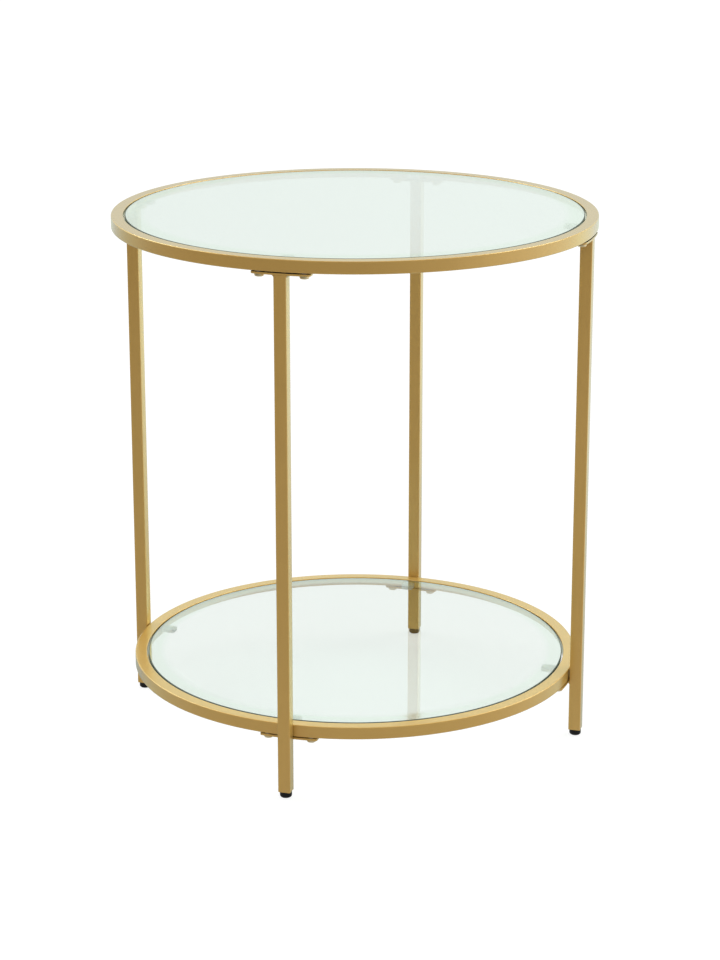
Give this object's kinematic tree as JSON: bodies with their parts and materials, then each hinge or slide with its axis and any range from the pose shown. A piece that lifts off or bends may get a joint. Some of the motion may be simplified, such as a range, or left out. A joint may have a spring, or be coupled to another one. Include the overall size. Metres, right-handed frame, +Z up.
{
  "type": "two-tier side table",
  "caption": "Round side table with a square-tube frame, a loose glass pane in its top ring and another in a lower shelf ring, on straight legs with small glides.",
  "frame": {"origin": "on the floor, under the middle of the table", "axes": "+Z up; the front leg stands on -Y, the right leg on +X, the back leg on +Y and the left leg on -X"},
  "size_m": [0.5, 0.5, 0.55],
  "materials": {
    "gold_steel": "satin champagne gold",
    "clear_glass": "clear tempered glass, ground edge",
    "clear_silicone": "clear silicone",
    "black_plastic": "moulded black",
    "screw_steel": "yellow zinc plate",
    "nut_steel": "zinc plate"
  },
  "bodies": {
    "frame": {"top_ring": "gold_steel", "lower_ring": "gold_steel", "leg_front": "gold_steel", "leg_right": "gold_steel", "leg_back": "gold_steel", "leg_left": "gold_steel", "foot_front": "black_plastic", "foot_right": "black_plastic", "foot_back": "black_plastic", "foot_left": "black_plastic", "top_plate_front": "gold_steel", "top_plate_right": "gold_steel", "top_plate_back": "gold_steel", "top_plate_left": "gold_steel", "lower_plate_front": "gold_steel", "lower_plate_right": "gold_steel", "lower_plate_back": "gold_steel", "lower_plate_left": "gold_steel", "top_tab_front": "gold_steel", "top_tab_right": "gold_steel", "top_tab_back": "gold_steel", "top_tab_left": "gold_steel", "lower_tab_front": "gold_steel", "lower_tab_right": "gold_steel", "lower_tab_back": "gold_steel", "lower_tab_left": "gold_steel", "top_pad_front": "clear_silicone", "top_pad_right": "clear_silicone", "top_pad_back": "clear_silicone", "top_pad_left": "clear_silicone", "lower_pad_front": "clear_silicone", "lower_pad_right": "clear_silicone", "lower_pad_back": "clear_silicone", "lower_pad_left": "clear_silicone", "top_screws": "screw_steel", "lower_screws": "screw_steel", "top_rivet_nuts": "nut_steel", "lower_rivet_nuts": "nut_steel"},
    "top_pane": {"top_glass": "clear_glass"},
    "lower_pane": {"lower_glass": "clear_glass"}
  },
  "joints": [
    {"name": "top_glass_lift", "type": "slide", "parent": "frame", "child": "top_pane", "axis": [0, 0, 1], "range_m": [0, 0.06]},
    {"name": "lower_glass_lift", "type": "slide", "parent": "frame", "child": "lower_pane", "axis": [0, 0, 1], "range_m": [0, 0.06]}
  ]
}
